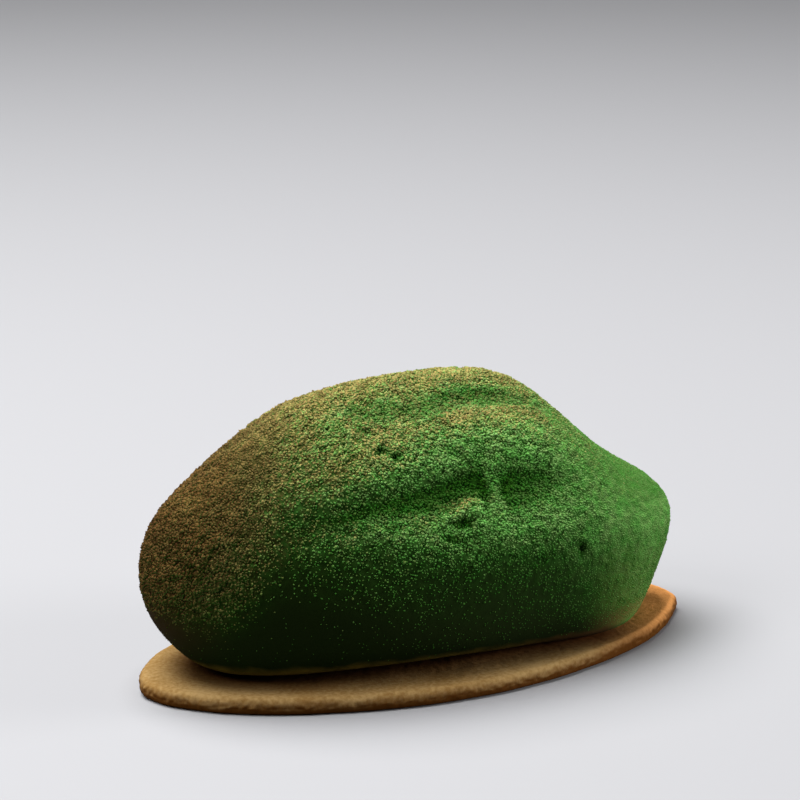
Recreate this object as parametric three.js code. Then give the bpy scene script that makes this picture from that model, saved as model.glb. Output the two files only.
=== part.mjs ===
// A mousse cake in the form of a pistachio kernel, standing on a thin sable biscuit. Millimetres, +Z up.
// The origin is on the table under the middle of the biscuit. +X runs along the cake to its narrow beak,
// and the side with the deeper folds faces -Y. The mousse is one solid, from its sprayed coat to its
// flat underside, and the biscuit is the other.

import * as THREE from "three";

// The biscuit: dough rolled thin and cut to a pointed oval that stands out a little all round the mousse
const BISCUIT_LENGTH = 101;
const BISCUIT_WIDTH = 53;
const BISCUIT_THICKNESS = 2.8;
const BISCUIT_POWER = 1.8; // 2 gives an ellipse, less makes the two ends more pointed
const BISCUIT_UPPER_EDGE = 1.2; // rounding, baked soft
const BISCUIT_LOWER_EDGE = 0.5;
const BISCUIT_EDGE_STEPS = 4;
const BISCUIT_STEPS = 84;

// The mousse in its own frame, which is turned and moved a little on the biscuit
const BLUNT_END = -49;
const BEAK_END = 48;
const MOUSSE_TURN = -1.5; // degrees about Z
const MOUSSE_SHIFT = -0.4; // along Y
const MOUSSE_STATIONS = 64;

// Profiles along the length, as [x, value]: the height of the widest level, the rise from there to the
// crest, the depth from there down, and half the width. Rise, depth and width belong to a full round body
// that narrows to a point at both ends, and whose underside is then cut flat where it meets the biscuit.
const WIDEST_LEVEL = [[-49, 19.2], [-25, 19.2], [0, 15.7], [25, 19.4], [48, 18.9]];
const CREST_RISE = [[-49, 28], [-39, 25.2], [-17, 29.6], [13.7, 30.7], [35, 17.2], [48, 16.2]];
const UNDERSIDE_DEPTH = [[-49, 22], [-36.5, 24.9], [-3.5, 16.6], [12.7, 21.7], [32.5, 34.5], [48, 20.5]];
const HALF_WIDTH = [[-49, 22.7], [-20, 24.2], [10, 22.6], [35, 23.9], [48, 20.4]];
const PLAN_BLUNTNESS = 0.92; // below 1 makes the two ends fuller, seen from above
const UNDERSIDE_BLUNTNESS = 0.8; // and this one from the side, below the widest level
const SIDE_BLEND = 0.75; // share of the section over which the rise takes over from the depth
const UNDERSIDE_ROUNDING = 3; // where the side turns in to the flat underside

// Folds run along the body. Each has its place round the section and its height, as [x, value] pairs, and
// how far it spreads to each side. Degrees count from +Y over the crest at 90 to the folded side at 180.
const FOLDS = [
  { // the crest
    place: [[-30, 95.5], [0, 92.4], [15, 100.2]],
    height: [[-45, 0], [-11.5, 1.6], [22, 0]],
    spread: [10, 10],
  },
  { // the valley between the crest and the ridge in front of it
    place: [[-28, 105], [-8, 111], [6, 109], [20, 111]],
    height: [[-28, 0], [-4, -0.6], [8, -1.8], [28, 0]],
    spread: [5, 5.6],
  },
  { // the ridge
    place: [[-20, 129], [5, 121], [20, 127]],
    height: [[-30, 0], [5, 0.5], [22, 0]],
    spread: [9, 10],
  },
  { // the long groove under the ridge
    place: [[-35, 152], [-15, 147.5], [2, 145]],
    height: [[-43, 0], [-7, -1.3], [2, -1], [5, 0]],
    spread: [4, 5.5],
  },
  { // the short groove that carries it on toward the beak
    place: [[8, 147.7], [24, 146.8]],
    height: [[3.5, 0], [8, -1.1], [27, 0]],
    spread: [4, 6],
  },
  { // the belly
    place: [[-30, 158], [0, 164.2], [30, 171]],
    height: [[-24, 0], [3, 1.8], [25, 0.6], [40, 0]],
    spread: [10, 12],
  },
  { // a softer ridge on the other side
    place: [[-30, 58], [10, 62], [30, 58]],
    height: [[-38, 0], [-4, 0.9], [26, 0]],
    spread: [10, 9],
  },
  { // and the groove under it
    place: [[-30, 36], [0, 41], [25, 38]],
    height: [[-40, 0], [-6, -0.9], [28, 0]],
    spread: [6, 5],
  },
];

// A raised blister of mousse on the belly, with the dent beside it: [x, degrees], height and spreads
const BLISTERS = [
  { at: [-2, 153.5], height: 0.8, length: 2.2, turn: 2 },
  { at: [-4.5, 158.5], height: -0.5, length: 1.8, turn: 1.8 },
];

// The section's points stand closer together on the folded side
const FINE_FROM = 84;
const FINE_TO = 192;
const FINE_STEP = 3;
const COARSE_STEP = 6;

const MOUSSE_MATERIAL = new THREE.MeshStandardMaterial({ color: 0x5a7d3c, roughness: 0.95, metalness: 0 });
const BISCUIT_MATERIAL = new THREE.MeshStandardMaterial({ color: 0xb5844e, roughness: 0.85, metalness: 0 });

// The value at x on a smooth curve through [x, value] pairs, which is level at both ends
function along(x, pairs) {
  const last = pairs.length - 1;
  const clamped = THREE.MathUtils.clamp(x, pairs[0][0], pairs[last][0]);
  let i = 0;
  while (i < last - 1 && clamped >= pairs[i + 1][0]) {
    i += 1;
  }
  const slope = (k) => {
    if (k === 0 || k === last) {
      return 0;
    }
    return (pairs[k + 1][1] - pairs[k - 1][1]) / (pairs[k + 1][0] - pairs[k - 1][0]);
  };
  const [x0, v0] = pairs[i];
  const [x1, v1] = pairs[i + 1];
  const t = (clamped - x0) / (x1 - x0);
  const bend = (x1 - x0) * t * (1 - t) * (slope(i) * (1 - t) - slope(i + 1) * t);
  return v0 + (v1 - v0) * t * t * (3 - 2 * t) + bend;
}

// The larger of two values, rounded over where they are within reach of each other
function roundedMax(a, b, reach) {
  const near = Math.max(reach - Math.abs(a - b), 0) / reach;
  return Math.max(a, b) + near * near * reach / 4;
}

// A bell curve of height 1
function bell(distance, spread) {
  return Math.exp(-0.5 * (distance / spread) ** 2);
}

// How far the folds and blisters raise the surface
function relief(x, degrees) {
  let raised = 0;
  for (const fold of FOLDS) {
    const off = degrees - along(x, fold.place);
    raised += along(x, fold.height) * bell(off, fold.spread[off < 0 ? 0 : 1]);
  }
  for (const blister of BLISTERS) {
    const [centre, turned] = blister.at;
    raised += blister.height * bell(x - centre, blister.length) * bell(degrees - turned, blister.turn);
  }
  return raised;
}

// A point of the mousse: one angle runs from the blunt end to the beak, the other round the section
function moussePoint(lengthAngle, degrees) {
  const x = BLUNT_END + (BEAK_END - BLUNT_END) * (1 - Math.cos(lengthAngle)) / 2;
  const narrowing = Math.sin(lengthAngle);
  const turned = THREE.MathUtils.degToRad(degrees);
  const share = THREE.MathUtils.smoothstep(Math.sin(turned), -SIDE_BLEND, SIDE_BLEND);
  const depth = along(x, UNDERSIDE_DEPTH) * narrowing ** UNDERSIDE_BLUNTNESS;
  const y = Math.cos(turned) * along(x, HALF_WIDTH) * narrowing ** PLAN_BLUNTNESS;
  const z = Math.sin(turned) * THREE.MathUtils.lerp(depth, along(x, CREST_RISE) * narrowing, share);
  const push = 1 + relief(x, degrees) * Math.min(1, 1.5 * narrowing) / Math.hypot(y, z);
  const level = along(x, WIDEST_LEVEL);
  return new THREE.Vector3(x, y * push, roundedMax(level + z * push, BISCUIT_THICKNESS, UNDERSIDE_ROUNDING));
}

// A closed skin over rings of points, with one point closing each end. The rings turn by the right hand
// about the way they follow each other, so that the faces point out.
function closedSkin(first, rings, last) {
  const around = rings[0].length;
  const points = [first, ...rings.flat(), last];
  const faces = [];
  const at = (ring, place) => 1 + ring * around + (place % around);
  for (let place = 0; place < around; place += 1) {
    faces.push(0, at(0, place + 1), at(0, place));
    for (let ring = 0; ring < rings.length - 1; ring += 1) {
      faces.push(at(ring, place), at(ring, place + 1), at(ring + 1, place + 1));
      faces.push(at(ring, place), at(ring + 1, place + 1), at(ring + 1, place));
    }
    faces.push(points.length - 1, at(rings.length - 1, place), at(rings.length - 1, place + 1));
  }
  const geometry = new THREE.BufferGeometry().setFromPoints(points);
  geometry.setIndex(faces);
  geometry.computeVertexNormals();
  return geometry;
}

// The angles of a section's points, in degrees
function sectionAngles() {
  const angles = [];
  for (let angle = FINE_FROM; angle < FINE_FROM + 360;) {
    angles.push(angle % 360);
    angle += angle < FINE_TO ? FINE_STEP : COARSE_STEP;
  }
  return angles;
}

function mousseBody() {
  const rings = [];
  for (let station = 1; station < MOUSSE_STATIONS; station += 1) {
    const lengthAngle = Math.PI * station / MOUSSE_STATIONS;
    rings.push(sectionAngles().map((degrees) => moussePoint(lengthAngle, degrees)));
  }
  const blunt = new THREE.Vector3(BLUNT_END, 0, along(BLUNT_END, WIDEST_LEVEL));
  const beak = new THREE.Vector3(BEAK_END, 0, along(BEAK_END, WIDEST_LEVEL));
  const geometry = closedSkin(blunt, rings, beak);
  geometry.rotateZ(THREE.MathUtils.degToRad(MOUSSE_TURN));
  geometry.translate(0, MOUSSE_SHIFT, 0);
  const mesh = new THREE.Mesh(geometry, MOUSSE_MATERIAL);
  mesh.name = "mousse_body";
  return mesh;
}

// A point of the biscuit's outline, drawn in by an inset
function biscuitPoint(angle, inset, z) {
  const power = 2 / BISCUIT_POWER;
  const outline = new THREE.Vector2(
    Math.sign(Math.cos(angle)) * Math.abs(Math.cos(angle)) ** power * BISCUIT_LENGTH / 2,
    Math.sign(Math.sin(angle)) * Math.abs(Math.sin(angle)) ** power * BISCUIT_WIDTH / 2,
  );
  outline.multiplyScalar(1 - inset / outline.length());
  return new THREE.Vector3(outline.x, outline.y, z);
}

// The biscuit's edge from below to above, as pairs of inset and height
function biscuitEdge() {
  const edge = [];
  for (let step = 0; step <= BISCUIT_EDGE_STEPS; step += 1) {
    const turn = Math.PI / 2 * step / BISCUIT_EDGE_STEPS;
    edge.push([BISCUIT_LOWER_EDGE * (1 - Math.sin(turn)), BISCUIT_LOWER_EDGE * (1 - Math.cos(turn))]);
  }
  for (let step = 0; step <= BISCUIT_EDGE_STEPS; step += 1) {
    const turn = Math.PI / 2 * step / BISCUIT_EDGE_STEPS;
    const height = BISCUIT_THICKNESS - BISCUIT_UPPER_EDGE * (1 - Math.sin(turn));
    edge.push([BISCUIT_UPPER_EDGE * (1 - Math.cos(turn)), height]);
  }
  return edge;
}

function sableBase() {
  const rings = biscuitEdge().map(([inset, height]) => {
    const ring = [];
    for (let step = 0; step < BISCUIT_STEPS; step += 1) {
      ring.push(biscuitPoint(2 * Math.PI * step / BISCUIT_STEPS, inset, height));
    }
    return ring;
  });
  const under = new THREE.Vector3(0, 0, 0);
  const over = new THREE.Vector3(0, 0, BISCUIT_THICKNESS);
  const mesh = new THREE.Mesh(closedSkin(under, rings, over), BISCUIT_MATERIAL);
  mesh.name = "sable_base";
  return mesh;
}

const group = new THREE.Group();
group.add(sableBase());
group.add(mousseBody());

export default group;
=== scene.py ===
"""A mousse cake in the form of a pistachio kernel, sprayed green and brown, on its sable biscuit.

The coat is the kernel's own surface with a fine relief, and crumbs of cocoa butter in five sizes lie on
it. The biscuit is baked dough with a sandy top and a browner edge. All places are in metres in the frame
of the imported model: +X toward the beak, +Z up, and the side with the deeper folds faces -Y.
"""

import math

import bpy
import numpy as np
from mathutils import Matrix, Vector
from mathutils.bvhtree import BVHTree


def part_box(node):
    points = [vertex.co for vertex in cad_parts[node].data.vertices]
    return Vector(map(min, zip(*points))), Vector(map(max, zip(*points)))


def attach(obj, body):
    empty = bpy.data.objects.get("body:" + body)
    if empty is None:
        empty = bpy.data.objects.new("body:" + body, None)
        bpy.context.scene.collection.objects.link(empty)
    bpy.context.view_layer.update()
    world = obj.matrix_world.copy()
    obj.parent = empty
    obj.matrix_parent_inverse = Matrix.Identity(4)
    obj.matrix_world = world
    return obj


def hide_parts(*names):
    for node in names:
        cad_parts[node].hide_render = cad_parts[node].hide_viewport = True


bl_info = {
    "name": "Pistachio Mousse Cake",
    "version": (1, 0, 0),
    "blender": (4, 5, 0),
    "location": "3D View > Sidebar > Dessert",
    "description": "Builds a velvet coated mousse cake on a sable biscuit",
    "category": "Add Mesh",
}

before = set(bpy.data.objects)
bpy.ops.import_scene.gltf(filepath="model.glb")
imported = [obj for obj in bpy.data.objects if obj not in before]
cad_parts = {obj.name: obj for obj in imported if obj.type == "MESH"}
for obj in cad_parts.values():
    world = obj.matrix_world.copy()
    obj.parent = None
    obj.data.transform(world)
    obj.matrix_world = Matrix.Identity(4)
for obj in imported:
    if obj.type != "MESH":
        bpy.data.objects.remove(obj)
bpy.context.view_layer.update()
MM = 0.001

# The solids' boxes, which the visible pieces keep to
MOUSSE_LOW, MOUSSE_HIGH = (Vector(corner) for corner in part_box("mousse_body"))
SABLE_LOW, SABLE_HIGH = (Vector(corner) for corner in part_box("sable_base"))

# The coat's mesh and its map, which winds about a level line inside the mousse
WELD_REACH = 0.001 * MM
COAT_CELL = 0.44 * MM
COAT_SMOOTHING = 10
MAP_LEVEL = 19 * MM
MAP_MARGIN = 0.015

# How often normals and places are averaged, and how far ridges and hollows then stand out
NORMAL_SMOOTHING = 16
BROWN_SMOOTHING = 90
FOLD_SMOOTHING = 60
FOLD_RANGE = (-0.04 * MM, 0.2 * MM)
HOLLOW_RANGE = (0.03 * MM, -0.09 * MM)

# Small marks on the folded side: where along X and Z, how high, and the radii along X and Z
MARKS = {
    "blister": {"at": (-1.0 * MM, 31.0 * MM), "height": 0.9 * MM, "radii": (2.2 * MM, 0.9 * MM)},
    "dent": {"at": (-3.4 * MM, 28.9 * MM), "height": -0.65 * MM, "radii": (2.0 * MM, 0.9 * MM)},
    "pit": {"at": (18.9 * MM, 21.2 * MM), "height": -0.8 * MM, "radii": (0.65 * MM, 1.1 * MM)},
    "pimple": {"at": (19.2 * MM, 23.1 * MM), "height": 0.6 * MM, "radii": (0.7 * MM, 0.6 * MM)},
    "first cavity": {"at": (-15.3 * MM, 43.1 * MM), "height": -0.5 * MM, "radii": (1.1 * MM, 0.4 * MM)},
    "second cavity": {"at": (-13.8 * MM, 40.5 * MM), "height": -0.8 * MM, "radii": (0.9 * MM, 0.4 * MM)},
    "third cavity": {"at": (-12.2 * MM, 39.5 * MM), "height": -0.7 * MM, "radii": (0.8 * MM, 0.4 * MM)},
}

# Parts of the kernel along X and Z, each from where its effect starts to where it is full
BLUNT_END = (-22 * MM, -48 * MM)
END_FACE = (-26 * MM, -50 * MM)
END_COVERED = (-32 * MM, -47 * MM)
BEAK = (2 * MM, 40 * MM)
BEAK_TIP = (22 * MM, 42 * MM)
ABOVE_RIM = (5.5 * MM, 9 * MM)
FOOT_DROP = (2.3 * MM, 4 * MM)

# Ranges of the surface's lean, which is 1 where it faces up and -1 where it faces down
END_LEAN = (-0.9, 0.0)
LEVEL_LEAN = (0.5, 0.9)
DUSTED_LEAN = (0.42, 0.9)
BEAK_TOP_LEAN = (0.1, 0.75)
BEAK_UNDER_LEAN = (-0.1, 0.6)

# The green spray came from above and from the beak's side, partly real and partly painted light on the
# faces turned that way.
# Painted shade darkens the hollows and folds, and under the belly, where the spray is also thin
GREEN_FROM = (0.6, 0.0, 1.0)
COVER_RANGE = (-0.43, 0.72)
THICK_AND_LIT_RANGE = (0.0, 0.75)
END_COVER = 1.1
BEAK_COVER = 0.4
BEAK_THICKENED = 0.6
HOLLOW_SHADE = 0.6
BELLY_THINNED_AND_SHADED = 0.25

# Loose dust lies everywhere, more of it toward the middle and on the beak
DUST_LEAST = 0.03
DUST_MIDDLE = 0.09
DUST_MIDDLE_RANGE = (-30 * MM, -5 * MM)
DUST_BEAK = 0.32

# The ridge between the two grooves, darkened by painted shade so that the grooves' shade runs on across it
BRIDGE_PLACE = (4.6 * MM, -19 * MM, 33.5 * MM)
BRIDGE_REACH = (5.5 * MM, 1 * MM)
BRIDGE_SHADE = 0.3

# The brown spray came from the blunt end and fades along the cake, and a light one came from above
BROWN_FROM = (-0.5, 0.3, 0.8)
BROWN_FADE_START = -20 * MM
BROWN_FADE = 10.0  # for each metre toward the beak
BROWN_RANGE = (-0.35, 1.45)
BROWN_TRACE = 0.25
BROWN_TRACE_RANGE = (2 * MM, -34 * MM)
DUSTED_SHARE = 0.86
DUSTED_RANGE = (48 * MM, 15 * MM)
# Brown on the downward faces under the beak's tip, a painted reflection of the biscuit below
BEAK_REFLECTED_BROWN = 0.85

# The coat's lumps: the noise's range, the level that they rise from, and how soon they start at the rim
LUMP_RANGE = (0.32, 0.68)
LUMP_LEVEL = 0.65
LUMP_START = 2.5 * MM

# The crumbs by kind: size as a share of a medium crumb, spacing and depth as shares of their own size,
# the values that say where they lie, whether they have few faces, and their seed
CRUMB_KINDS = {
    "coarse_crumbs": dict(size=1.3, spacing=1.19, cover="cover", sunk=0.1, small=False, seed=11),
    "medium_crumbs": dict(size=1.05, spacing=1.0, cover="cover", sunk=0.0, small=True, seed=23),
    "fine_crumbs": dict(size=0.9, spacing=1.03, cover="dusting", sunk=0.0, small=True, seed=37),
    "specks": dict(size=0.76, spacing=1.22, cover="dusting", sunk=-0.1, small=True, seed=41),
    "dust": dict(size=0.65, spacing=1.43, cover="dusting", sunk=-0.1, small=True, seed=53),
}

# How many crumbs a square metre holds at most, the places where the noise of each shape is read, how far
# a shape strays from a ball, and its half widths as shares of the crumb's size
CRUMB_DENSITY = 1.2e7
CRUMB_SHAPES = (1.0, 5.0, 9.0, 13.0, 17.0)
CRUMB_STRAY = 1.5
CRUMB_HALF_WIDTHS = (0.34, 0.62)
BALL_CORNERS = 12
SPECK_CORNERS = 6
MOST_TRIANGLES = 200_000

# Widths of the noises in the materials
DRIFT_WIDTH = 4.5 * MM
BLOTCH_WIDTH = 2.6 * MM
HUE_WIDTH = 1.8 * MM
TONE_WIDTH = 0.9 * MM
BAKED_PATCH_WIDTH = 9 * MM
SAND_WIDTH = 0.7 * MM
SWELL_WIDTH = 6 * MM

# The bare band above the biscuit, coloured as a painted reflection of the biscuit and toward the beak as
# painted shade, and the spray that reached the biscuit at the beak
RIM_STRAY = 2.2 * MM
RIM_STRAY_WIDTH = 4 * MM
RIM_HEIGHTS = (2.8 * MM, 5.4 * MM)
RIM_BEAK_DROP = 1.2 * MM
RIM_BEAK_RANGE = (-5 * MM, 22 * MM)
FOOT_HEIGHTS = (2.6 * MM, 5.6 * MM)
FOOT_RANGE = (27 * MM, 36 * MM)

# Colours that others are multiplied by
UNCHANGED = (1.0, 1.0, 1.0)
COOL_TINT = (0.75, 1.0, 0.75)
WARM_TINT = (1.25, 0.98, 1.15)
RED_TINT = (1.08, 0.8, 0.72)
# Painted shade in the coat between its lumps: darkest in the hollows, lighter on the lumps and on the beak
HOLLOW_SHADE_TINT = (0.2, 0.28, 0.15)
LIFTED_SHADE_TINT = (0.6, 0.7, 0.55)
BEAK_SHADE_TINT = (0.85, 0.9, 0.8)

# The biscuit's outline, as in the solid, and the waves of its edge: height, number and start
SABLE_POWER = 1.8
SABLE_CORNER = 0.9 * MM
SABLE_CORNER_AT = -4.5 * MM
SABLE_CORNER_REACH = 5 * MM
SABLE_CORNER_POWER = 1.3
SABLE_WAVES = ((0.5, 5, 1.2), (0.3, 11, 0.4), (0.2, 23, 2.0))

# The rings of the biscuit's mesh, and how near to the mousse a painted shadow darkens it, and where along X
# it fades toward the beak
SABLE_STEPS = 720
SABLE_UNDER_INSETS = (20 * MM, 10 * MM, 3 * MM)
SABLE_UPPER_EDGE = 1.4 * MM
SABLE_LOWER_EDGE = 1.1 * MM
SABLE_EDGE_STEPS = 7
SABLE_SIDE_STEPS = 2
SABLE_FINE_GAP = 0.3 * MM
SABLE_FINE_RINGS = 78
SABLE_MIDDLE = 1 * MM
PAINTED_SHADOW_REACH = 5.3 * MM
PAINTED_SHADOW_RANGE = (42 * MM, 25 * MM)

# The camera stands where the photograph was taken from
CAMERA_PLACE = (-230.9 * MM, -421.6 * MM, 176.3 * MM)
CAMERA_TILT = math.radians(15.43)
CAMERA_TURN = math.radians(-28.4)
CAMERA_LENS = 135
CAMERA_SENSOR = 36
CAMERA_NEAR = 0.01

# The soft lights: their directions from the cake, how far away they are, and their widths
KEY_FROM = Vector((-0.2, 0.26, 1.0))
KEY_WIDTH = 0.85
RIGHT_FROM = Vector((0.9, -0.4, 0.2))
LEFT_FROM = Vector((-0.8, -0.1, 0.75))
SIDE_WIDTH = 0.35
LAMPS_AWAY = 0.9

# The floor, just below the biscuit, and the colour of the light from all round
FLOOR_HALF = 4.0
FLOOR_DROP = 0.05 * MM
SKY_COLOUR = (0.95, 0.97, 1.0, 1.0)


def length_property(name, description, value):
    """A property that holds a length in metres."""
    return bpy.props.FloatProperty(
        name=name, description=description, default=value, min=0.0, unit="LENGTH", precision=5
    )


def colour_property(name, description, value):
    """A property that holds a linear colour."""
    return bpy.props.FloatVectorProperty(
        name=name, description=description, default=value, size=3, min=0.0, max=1.0, subtype="COLOR"
    )


def power_property(name, description, value):
    """A property that holds the power of a lamp in watts."""
    return bpy.props.FloatProperty(
        name=name, description=description, default=value, min=0.0, subtype="POWER"
    )


class CoatSettings(bpy.types.PropertyGroup):
    """Sizes and colours of the velvet coat."""

    lump_size: length_property("Lump Size", "Width of the coat's own small lumps", 1.15 * MM)
    lump_height: length_property("Lump Height", "How far the lumps rise and sink", 0.42 * MM)
    crumb_size: length_property("Crumb Size", "Width of a medium crumb", 0.46 * MM)
    green_light: colour_property("Light Green", "Palest green crumbs", (0.203, 0.445, 0.12))
    green_deep: colour_property("Deep Green", "Darkest green crumbs", (0.014, 0.075, 0.004))
    brown_light: colour_property("Light Brown", "Palest brown crumbs", (0.335, 0.255, 0.082))
    brown_deep: colour_property("Deep Brown", "Darkest brown crumbs", (0.024, 0.011, 0.003))
    # The smooth coat where few crumbs lie: partly the real bare coat, partly painted shade on the downward
    # faces
    shaded_under: colour_property("Underneath", "Smooth coat where few crumbs lie", (0.0055, 0.011, 0.0013))
    # The smooth coat under the beak, its olive-tan colour a painted reflection of the biscuit
    under_beak_reflected: colour_property("Under the Beak", "Smooth coat under the beak", (0.14, 0.11, 0.026))
    foot: colour_property("Foot", "Spray that reached the biscuit", (0.07, 0.165, 0.03))
    # The bare band's colours: yellow-brown painted reflection of the biscuit, and darker painted shade
    # under the beak
    rim_painted_light: colour_property("Rim", "Bare band above the biscuit", (0.13, 0.095, 0.014))
    rim_beak_shaded: colour_property("Beak Rim", "Bare band under the beak", (0.035, 0.018, 0.005))


class SableSettings(bpy.types.PropertyGroup):
    """Sizes and colours of the biscuit."""

    grain_size: length_property("Grain Size", "Width of the baked grains", 0.8 * MM)
    grain_height: length_property("Grain Height", "How far the grains stand out", 0.11 * MM)
    swell_height: length_property("Swell Height", "Slow rise and fall of the top", 0.15 * MM)
    wobble: length_property("Edge Wobble", "How far the outline strays", 0.3 * MM)
    top_light: colour_property("Light Top", "Palest part of the top", (0.3, 0.195, 0.078))
    top_deep: colour_property("Deep Top", "Browned part of the top", (0.2, 0.11, 0.032))
    # Orange top at the beak's end: partly its baked colour, partly painted light
    top_right_orange_lit: colour_property("Right Top", "Top toward the beak, baked more", (0.74, 0.32, 0.095))
    edge: colour_property("Edge", "Browned side", (0.07, 0.023, 0.002))
    # Painted shadow on the biscuit around the mousse
    painted_shadow: colour_property("Painted Shadow", "What the mousse's shadow leaves of the colour", (0.2, 0.11, 0.05))


class StageSettings(bpy.types.PropertyGroup):
    """The floor and the light."""

    floor: colour_property("Floor", "Colour of the floor", (0.27, 0.27, 0.28))
    key_power: power_property("Key Power", "Power of the soft light above", 24.0)
    right_power: power_property("Right Power", "Power of the soft light beyond the beak", 10.0)
    left_power: power_property("Left Power", "Power of the soft light beyond the blunt end", 2.9)
    fill: bpy.props.FloatProperty(
        name="Fill", description="Strength of the light from all round", default=0.015, min=0.0
    )


def add_node(tree, kind, **settings):
    """A new node with its settings."""
    node = tree.nodes.new(kind)
    for name, value in settings.items():
        setattr(node, name, value)
    return node


def feed(tree, node, socket, source):
    """Gives a node's input a value, or links an output to it."""
    if isinstance(source, bpy.types.NodeSocket):
        tree.links.new(source, node.inputs[socket])
    else:
        node.inputs[socket].default_value = source


def calculated(tree, operation, *sources):
    """The output of a Math node."""
    node = add_node(tree, "ShaderNodeMath", operation=operation)
    for place, source in enumerate(sources):
        feed(tree, node, place, source)
    return node.outputs[0]


def vector_calculated(tree, operation, *sources, output="Vector"):
    """The output of a Vector Math node."""
    node = add_node(tree, "ShaderNodeVectorMath", operation=operation)
    for place, source in enumerate(sources):
        feed(tree, node, "Scale" if operation == "SCALE" and place == 1 else place, source)
    return node.outputs[output]


def separated(tree, vector):
    """The three outputs of a Separate XYZ node."""
    node = add_node(tree, "ShaderNodeSeparateXYZ")
    feed(tree, node, 0, vector)
    return node.outputs


def eased(tree, value, low, high):
    """A share from 0 at low to 1 at high, eased at both ends."""
    node = add_node(tree, "ShaderNodeMapRange", interpolation_type="SMOOTHSTEP")
    feed(tree, node, "Value", value)
    feed(tree, node, "From Min", low)
    feed(tree, node, "From Max", high)
    return node.outputs["Result"]


def noise_value(tree, vector, scale, detail=2.0, output="Fac"):
    """The output of a Noise Texture."""
    node = add_node(tree, "ShaderNodeTexNoise")
    feed(tree, node, "Vector", vector)
    feed(tree, node, "Scale", scale)
    feed(tree, node, "Detail", detail)
    return node.outputs[output]


def socket_of(sockets, identifier):
    """The socket with this identifier, where several share a name."""
    return next(socket for socket in sockets if socket.identifier == identifier)


def shown(sockets, name="Value"):
    """The socket of this name that the node's data type shows, where several share a name."""
    return next(socket for socket in sockets if socket.enabled and socket.name == name)


def mixed_colour(tree, share, first, second):
    """The output of a Mix node on colours."""
    node = add_node(tree, "ShaderNodeMix", data_type="RGBA")
    tree.links.new(share, socket_of(node.inputs, "Factor_Float"))
    for identifier, source in (("A_Color", first), ("B_Color", second)):
        socket = socket_of(node.inputs, identifier)
        if isinstance(source, bpy.types.NodeSocket):
            tree.links.new(source, socket)
        else:
            socket.default_value = (*source, 1.0)
    return socket_of(node.outputs, "Result_Color")


def product(tree, first, second):
    """Two colours multiplied."""
    node = add_node(tree, "ShaderNodeMix", data_type="RGBA", blend_type="MULTIPLY")
    socket_of(node.inputs, "Factor_Float").default_value = 1.0
    tree.links.new(first, socket_of(node.inputs, "A_Color"))
    tree.links.new(second, socket_of(node.inputs, "B_Color"))
    return socket_of(node.outputs, "Result_Color")


def mesh_value(tree, name):
    """A number that the mesh keeps under a name, for Geometry Nodes."""
    node = add_node(tree, "GeometryNodeInputNamedAttribute", data_type="FLOAT")
    feed(tree, node, "Name", name)
    return node.outputs["Attribute"]


def new_tree(name, inputs):
    """A Geometry Nodes tree with named inputs, and its input and output nodes."""
    tree = bpy.data.node_groups.new(name, "GeometryNodeTree")
    tree.interface.new_socket("Geometry", in_out="INPUT", socket_type="NodeSocketGeometry")
    for label, kind in inputs:
        tree.interface.new_socket(label, in_out="INPUT", socket_type=kind)
    tree.interface.new_socket("Geometry", in_out="OUTPUT", socket_type="NodeSocketGeometry")
    return tree, add_node(tree, "NodeGroupInput"), add_node(tree, "NodeGroupOutput")


def mesh_through(tree, mesh, name, values):
    """The mesh that a Geometry Nodes tree makes of a mesh, with these values in its named inputs."""
    carrier = bpy.data.objects.new(name + "_carrier", mesh)
    bpy.context.scene.collection.objects.link(carrier)
    modifier = carrier.modifiers.new("nodes", "NODES")
    modifier.node_group = tree
    for item in tree.interface.items_tree:
        if item.in_out == "INPUT" and item.name in values:
            modifier[item.identifier] = values[item.name]
    depsgraph = bpy.context.evaluated_depsgraph_get()
    made = bpy.data.meshes.new_from_object(carrier.evaluated_get(depsgraph), depsgraph=depsgraph)
    bpy.data.objects.remove(carrier)
    made.name = name
    return made


def read_rows(elements, name):
    """A vector of each of a mesh's elements, one row each."""
    values = np.empty(len(elements) * 3)
    elements.foreach_get(name, values)
    return values.reshape(-1, 3)


def read_numbers(elements, name, width=1):
    """One or more whole numbers of each of a mesh's elements, in one line."""
    values = np.empty(len(elements) * width, dtype=np.int32)
    elements.foreach_get(name, values)
    return values


def positions(mesh):
    """The places of a mesh's vertices, one row each."""
    return read_rows(mesh.vertices, "co")


def place_vertices(mesh, values):
    """Puts a mesh's vertices at these places."""
    mesh.vertices.foreach_set("co", values.ravel())
    mesh.update()


def vertex_normals(mesh):
    """The normals of a mesh's vertices, one row each."""
    return read_rows(mesh.vertex_normals, "vector")


def triangle_count(mesh):
    """How many triangles a mesh's faces make."""
    return len(mesh.loops) - 2 * len(mesh.polygons)


def keep_values(mesh, name, values):
    """Stores one number for each vertex under a name."""
    attribute = mesh.attributes.new(name, "FLOAT", "POINT")
    attribute.data.foreach_set("value", np.asarray(values, dtype=np.float32))


def ease(values, low, high):
    """A share from 0 at low to 1 at high, eased at both ends, for whole arrays."""
    share = np.clip((values - low) / (high - low), 0, 1)
    return share * share * (3 - 2 * share)


def add_piece(mesh, material, replaced=()):
    """The object of a finished mesh, riding on the one body."""
    piece = bpy.data.objects.new(mesh.name, mesh)
    bpy.context.scene.collection.objects.link(piece)
    if material.name not in mesh.materials:
        mesh.materials.append(material)
    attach(piece, "root")
    if replaced:
        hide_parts(*replaced)
    return piece


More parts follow.
